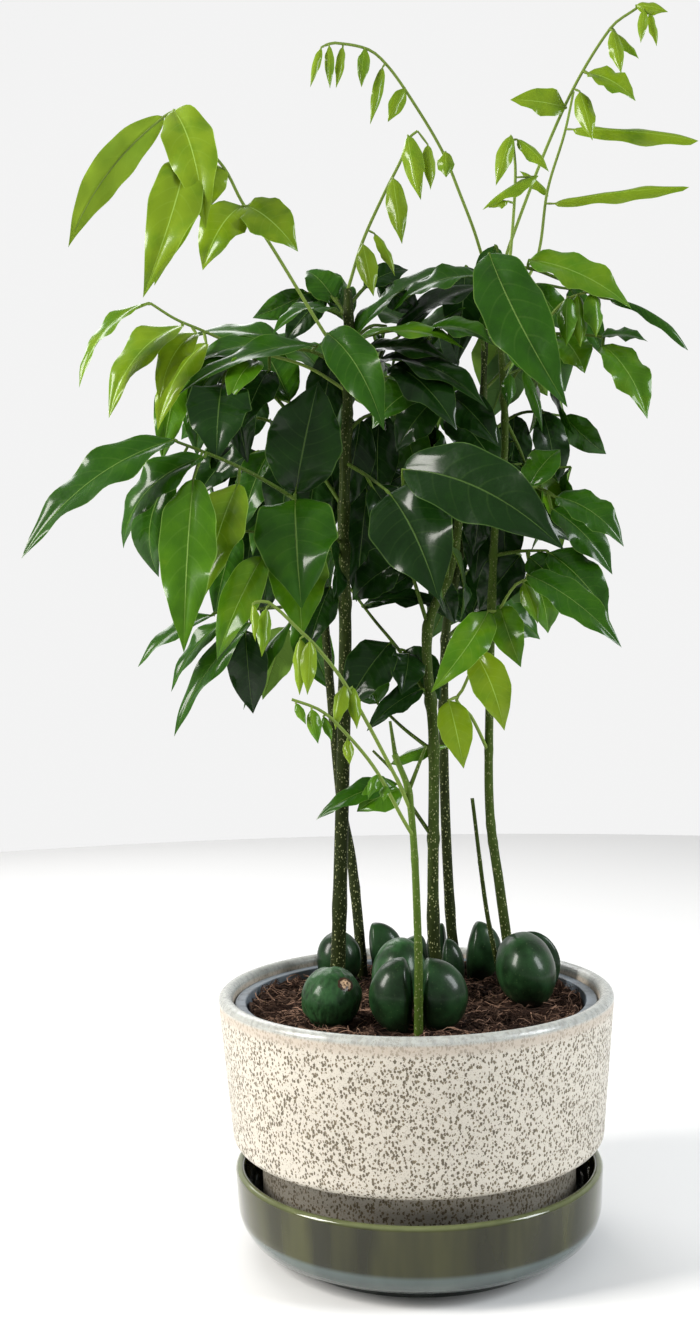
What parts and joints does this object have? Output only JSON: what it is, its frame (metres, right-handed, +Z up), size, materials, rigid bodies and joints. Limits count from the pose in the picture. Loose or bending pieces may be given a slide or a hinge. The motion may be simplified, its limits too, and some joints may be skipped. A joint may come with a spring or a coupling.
{
  "type": "potted bean plant",
  "caption": "Group of slender leafy seedlings grown from large split green beans, in a speckled round stoneware pot on a glazed saucer.",
  "frame": {"origin": "middle of the saucer's foot, on the surface that it stands on", "axes": "+Z up along the pot's axis, -Y towards the front that the picture shows, +X to the right"},
  "size_m": [0.3357, 0.2681, 0.6267],
  "materials": {
    "saucer_glaze": "glossy dark olive glaze",
    "pot_stoneware": "satin cream stoneware with fine brown specks",
    "liner_plastic": "satin blue-grey plastic nursery pot",
    "soil": "loose dark brown potting mix with tan fibres",
    "bean_skin": "satin dark green seed halves",
    "stem_bark": "matt green to olive stems with fine pale dots",
    "mature_leaf": "glossy dark green leaves with a pale midrib",
    "young_leaf": "satin lime green young leaves"
  },
  "bodies": {
    "root": {"saucer": "saucer_glaze", "pot": "pot_stoneware", "liner": "liner_plastic", "soil": "soil", "bean_front_left": "bean_skin", "bean_front_pair_left": "bean_skin", "bean_front_pair_right": "bean_skin", "bean_centre_left": "bean_skin", "bean_centre_right": "bean_skin", "bean_back_centre": "bean_skin", "bean_back_left": "bean_skin", "bean_back_left_inner": "bean_skin", "bean_back_right": "bean_skin", "bean_back_inner": "bean_skin", "bean_right_front": "bean_skin", "bean_right_back": "bean_skin", "seedling_left": "mature_leaf", "seedling_back_left": "mature_leaf", "seedling_front": "mature_leaf", "seedling_centre": "mature_leaf", "seedling_back": "mature_leaf", "seedling_right": "mature_leaf", "bare_stub": "stem_bark", "shoot_upper_left": "young_leaf", "shoot_left": "young_leaf", "shoot_low_left": "young_leaf", "shoot_low_centre": "young_leaf", "shoot_top_centre": "young_leaf", "shoot_top_arch": "young_leaf", "shoot_top_right": "young_leaf", "shoot_tall_right": "young_leaf", "shoot_small_right": "young_leaf", "shoot_hanging_right": "young_leaf", "shoot_middle_right": "young_leaf"}
  },
  "joints": []
}
